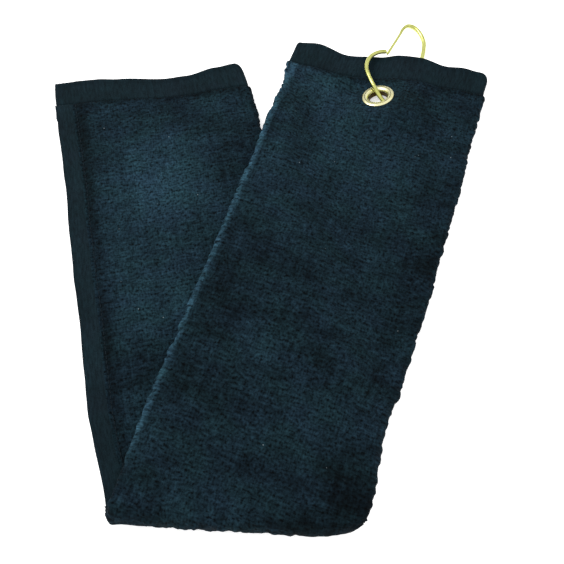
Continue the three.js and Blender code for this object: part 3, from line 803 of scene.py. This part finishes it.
# the bow's straight arm is thinner than the rest, as (place in the path, share of full radius) knots
ARM_THIN = [(0, 1.0), (10, 1.0), (12.2, 0.75), (13.2, 0.62), (14.2, 0.62), (15, 0.7)]
hook = wire("hook", hook_path, ARM_THIN)
gate = wire("gate", gate_path)
for piece, body, node_name in ((hook, "hook", "hook_wire"), (gate, "gate", "gate_wire")):
    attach(piece, body)
    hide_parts(node_name)
print("hook and gate,", len(hook.data.vertices) + len(gate.data.vertices), "points")

# %% [markdown]
# ## Terry
# Terry is woven with loops of soft cotton yarn standing on both faces. It hardly shines: light enters the
# pile, and only the tips catch it, as a faint velvet sheen at grazing angles. The finish mixes clumps of
# loops a couple of millimetres across, finer loops under a millimetre, the cloth's soft patches of tone and
# of painted light and shade, and a few specks of pale lint. Every pattern is sized on the flat cloth in mm.

# %% Terry finish
def pattern(material, kind, across_size, along_size, detail=0.0, **settings):
    """A noise or Voronoi pattern whose bumps have the given sizes in millimetres on the flat cloth."""
    cloth_place = node(material, "ShaderNodeAttribute", attribute_name="cloth")
    scaled = node(material, "ShaderNodeVectorMath", {"Vector": cloth_place.outputs["Vector"]},
                  operation="MULTIPLY")
    scaled.inputs[1].default_value = (1 / across_size, 1 / along_size, 1 / across_size)
    values = {"Scale": 1.0} | ({"Detail": detail} if kind == "ShaderNodeTexNoise" else {})
    return node(material, kind, {"Vector": scaled.outputs["Vector"]}, values, **settings)


def ramp(material, source, low, high, low_value, high_value):
    """Map a range of a pattern to a range of values, clamped."""
    made = node(material, "ShaderNodeMapRange", {"Value": source}, {
        "From Min": low, "From Max": high, "To Min": low_value, "To Max": high_value}, clamp=True)
    return made.outputs["Result"]


def combine(material, operation, a, b):
    """Arithmetic on two values, either of which may be a plain number."""
    made = node(material, "ShaderNodeMath", operation=operation)
    for slot_index, value in enumerate((a, b)):
        if isinstance(value, (int, float)):
            made.inputs[slot_index].default_value = value
        else:
            material.node_tree.links.new(value, made.inputs[slot_index])
    return made.outputs["Value"]


def cloth_material(name, dyes, clump_size, loop_size, clump_depth, loop_depth, bump_mm, roughness):
    """A dyed cotton finish: uneven dye, lightened and darkened by the cloth's tone and painted light and
    shade, and broken up by clumps and finer loops.
    """
    material = new_material(name)
    clumps = pattern(material, "ShaderNodeTexNoise", *clump_size, detail=2.0).outputs["Fac"]
    loops = pattern(material, "ShaderNodeTexNoise", *loop_size, detail=2.0).outputs["Fac"]
    tone_and_painted_light = node(material, "ShaderNodeAttribute", attribute_name="tone_and_painted_light").outputs["Fac"]
    uneven = combine(material, "ADD", ramp(material, clumps, 0.2, 0.8, -clump_depth, clump_depth),
                     ramp(material, loops, 0.2, 0.8, -loop_depth, loop_depth))
    shade = combine(material, "MULTIPLY", tone_and_painted_light, combine(material, "MAXIMUM", 0.12, combine(
        material, "ADD", 1.0, uneven)))
    dye_patches = pattern(material, "ShaderNodeTexNoise", 22.0, 16.0, detail=1.0).outputs["Fac"]
    dye = node(material, "ShaderNodeMix", {"Factor": ramp(material, dye_patches, 0.35, 0.65, 0.0, 1.0)},
               data_type="RGBA")
    dye.inputs[6].default_value, dye.inputs[7].default_value = linear(dyes[0]), linear(dyes[1])
    colour = node(material, "ShaderNodeVectorMath", {0: dye.outputs[2], "Scale": shade}, operation="SCALE")
    height = combine(material, "ADD", clumps, combine(material, "MULTIPLY", loops, 0.6))
    bump = node(material, "ShaderNodeBump", {"Height": height}, {"Strength": 1.0, "Distance": bump_mm * MM})
    surface = node(material, "ShaderNodeBsdfPrincipled",
                   {"Base Color": colour.outputs["Vector"], "Normal": bump.outputs["Normal"]},
                   {"Roughness": roughness, "Specular IOR Level": 0.06, "Sheen Weight": 0.02,
                    "Sheen Roughness": 0.5, "Sheen Tint": linear("#7f9aa8")})
    node(material, "ShaderNodeOutputMaterial", {"Surface": surface.outputs["BSDF"]})
    return material, colour, surface


# Dark navy cotton terry, uneven and speckled, with its light coming from the tips of the pile
terry, terry_colour, terry_surface = cloth_material(
    "navy_cotton_terry", dyes=("#0f1f25", "#101e27"), clump_size=(3.4, 1.4), loop_size=(1.2, 2.2),
    clump_depth=0.9, loop_depth=0.9, bump_mm=0.7, roughness=0.95)
# Specks of pale lint, the one thing brighter than the cloth, as on any dark towel that has been used
specks = pattern(terry, "ShaderNodeTexVoronoi", 14.0, 14.0).outputs["Distance"]
lint = node(terry, "ShaderNodeMix", {"Factor": ramp(terry, specks, 0.018, 0.03, 0.5, 0.0)},
            data_type="RGBA")
lint.inputs[7].default_value = linear("#8c989c")
terry.node_tree.links.new(terry_colour.outputs["Vector"], lint.inputs[6])
terry.node_tree.links.new(lint.outputs[2], terry_surface.inputs["Base Color"])

# Flat-woven hem of the same dye: smoother and more even, with fine ribs, so it frames the rougher pile
flat_weave, *_ = cloth_material(
    "navy_flat_woven_hem", dyes=("#0c1a1f", "#0e1a20"), clump_size=(1.2, 5.0), loop_size=(0.7, 0.7),
    clump_depth=0.5, loop_depth=0.4, bump_mm=0.3, roughness=0.85)
# Polyester sewing thread: darker than the pile, so a row of stitches reads as a fine dark line
thread = new_material("dark_sewing_thread")
strand = pattern(thread, "ShaderNodeTexNoise", 0.5, 0.5).outputs["Fac"]
thread_colour = node(thread, "ShaderNodeMix", {"Factor": strand}, data_type="RGBA")
thread_colour.inputs[6].default_value = linear("#0a1217")
thread_colour.inputs[7].default_value = linear("#141f26")
thread_surface = node(thread, "ShaderNodeBsdfPrincipled", {"Base Color": thread_colour.outputs[2]},
                      {"Roughness": 0.8, "Specular IOR Level": 0.1})
node(thread, "ShaderNodeOutputMaterial", {"Surface": thread_surface.outputs["BSDF"]})
print("cloth finishes", terry.name, flat_weave.name, thread.name)

# %% Finishes on the cloth
for piece in (cloth["rear"], cloth["front"], cloth["bend"]):
    piece.data.materials.append(terry)
    piece.data.materials.append(flat_weave)
for leg in ("rear", "front"):
    cloth[f"{leg}_stitches"].data.materials.append(thread)
print("finishes on", len(cloth), "pieces")

# %% [markdown]
# ## Brass
# The eyelet is polished brass and the hook is brass-plated spring wire. Metal has no colour of its own
# apart from what it reflects, so the base colour only tints the white room around it. Handling leaves fine
# scratches and slight dullness, which widen the highlights unevenly.

# %% Brass finishes
def brass_material(name, colour, dull, low_roughness, high_roughness, scratch_mm):
    """Polished metal with slight uneven wear."""
    material = new_material(name)
    place = node(material, "ShaderNodeTexCoord").outputs["Object"]
    wear, fine = (
        node(material, "ShaderNodeTexNoise", {"Vector": place}, {"Scale": 1 / (size * MM), "Detail": detail})
        for size, detail in ((3, 3.0), (scratch_mm, 2.0)))
    worn = ramp(material, wear.outputs["Fac"], 0.45, 0.75, 0.0, 1.0)
    tint = node(material, "ShaderNodeMix", {"Factor": worn}, data_type="RGBA")
    tint.inputs[6].default_value, tint.inputs[7].default_value = linear(colour), linear(dull)
    rough = ramp(material, wear.outputs["Fac"], 0.35, 0.7, low_roughness, high_roughness)
    bump = node(material, "ShaderNodeBump", {"Height": fine.outputs["Fac"]},
                {"Strength": 0.12, "Distance": 0.01 * MM})
    surface = node(material, "ShaderNodeBsdfPrincipled",
                   {"Base Color": tint.outputs[2], "Roughness": rough, "Normal": bump.outputs["Normal"]},
                   {"Metallic": 1.0})
    node(material, "ShaderNodeOutputMaterial", {"Surface": surface.outputs["BSDF"]})
    return material


# Pressed brass, polished: pale yellow in a white room
brass = brass_material("polished_brass", "#e6e2b4", "#cfc894", 0.16, 0.30, 0.4)
# Brass left unpolished inside the barrel and at the back: dull brown, darkened further as painted shade, so
# the hole reads as deep
dull_brass_painted_shade = brass_material("dull_barrel_brass_painted_shade", "#4a3c1c", "#332810", 0.45, 0.6, 0.4)
# Brass-plated spring wire: a touch greener and glossier, so it carries long narrow highlights
plated_wire = brass_material("brass_plated_wire", "#c6c878", "#a6a85a", 0.2, 0.32, 0.3)
for piece, material in ((eyelet, brass), (washer, dull_brass_painted_shade), (hook, plated_wire), (gate, plated_wire)):
    piece.data.materials.append(material)
eyelet.data.materials.append(dull_brass_painted_shade)
# the faces inside the barrel take the dark brass: painted shade inside the hole
painted_shade_faces = np.array(flange_inside_painted_shade * TURNED_SIDES)  # the outline's faces repeat round all sides
eyelet.data.polygons.foreach_set("material_index", painted_shade_faces.astype(int))
print("metal finishes", brass.name, plated_wire.name)

# %% [markdown]
# ## Room and light
# The towel lies on a plain white table under a soft, even light: a white ceiling over dimmer walls, with one
# large panel from the left and behind to rake across the pile. The table glows a little from below, so
# shadows stay faint and the dark cloth keeps a clean outline.

# %% Floor, world and lamps
floor_mesh = bpy.data.meshes.new("floor")
floor_mesh.from_pydata([(-6, -6, 0), (6, -6, 0), (6, 6, 0), (-6, 6, 0)], [], [(0, 1, 2, 3)])
floor = bpy.data.objects.new("floor", floor_mesh)
bpy.context.scene.collection.objects.link(floor)
# Translucent white acrylic, lit from below: it keeps shadows faint, so the cloth's edges read clearly
paper = new_material("white_light_table")
grain = node(paper, "ShaderNodeTexNoise", {"Vector": node(paper, "ShaderNodeTexCoord").outputs["Object"]},
             {"Scale": 40.0})
paper_surface = node(paper, "ShaderNodeBsdfPrincipled",
                     {"Emission Strength": ramp(paper, grain.outputs["Fac"], 0.3, 0.7, 0.52, 0.56)},
                     {"Base Color": linear("#f6f6f6"), "Roughness": 1.0, "Specular IOR Level": 0.0,
                      "Emission Color": (1.0, 1.0, 1.0, 1.0)})
node(paper, "ShaderNodeOutputMaterial", {"Surface": paper_surface.outputs["BSDF"]})
floor_mesh.materials.append(paper)
floor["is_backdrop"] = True

world = bpy.data.worlds.new("white room")
bpy.context.scene.world = world
world.use_nodes = True
background = world.node_tree.nodes["Background"]
background.inputs["Color"].default_value = (1.0, 1.0, 1.0, 1.0)
# polished metal mirrors the dimmer walls at its edges, which keeps it apart from the white table
direction = world.node_tree.nodes.new("ShaderNodeTexCoord")
height = world.node_tree.nodes.new("ShaderNodeSeparateXYZ")
walls = world.node_tree.nodes.new("ShaderNodeMapRange")
for setting, value in (("From Min", 0.1), ("From Max", 0.5), ("To Min", 0.5), ("To Max", 1.15)):
    walls.inputs[setting].default_value = value
world.node_tree.links.new(direction.outputs["Generated"], height.inputs["Vector"])
world.node_tree.links.new(height.outputs["Z"], walls.inputs["Value"])
world.node_tree.links.new(walls.outputs["Result"], background.inputs["Strength"])


def panel(name, location, size, watts):
    """A square soft light at a place, facing the middle of the towel."""
    data = bpy.data.lights.new(name, "AREA")
    data.energy, data.size = watts, size
    lamp = bpy.data.objects.new(name, data)
    bpy.context.scene.collection.objects.link(lamp)
    lamp.location = location
    direction = np.array([0, 0, 0]) - np.array(location)
    yaw = math.atan2(direction[1], direction[0])
    lamp.rotation_euler = (math.atan2(math.hypot(*direction[:2]), -direction[2]), 0, yaw - math.pi / 2)
    return lamp


panel("key panel", (-0.9, 0.5, 1.1), 0.7, 14)
bpy.context.scene.view_settings.view_transform = "Standard"

# %% [markdown]
# ## Box of the finished object
# The three pieces of cloth share the flat 406 by 660 mm towel: the two legs' visible lengths, and half a
# turn round the fold at the middle of the stack. The finished object's box is printed beside the solids'
# box, so that the two can be compared.

low, high = (list(corner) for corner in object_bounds())
print("scene box", [round(b - a, 4) for a, b in zip(low, high)])
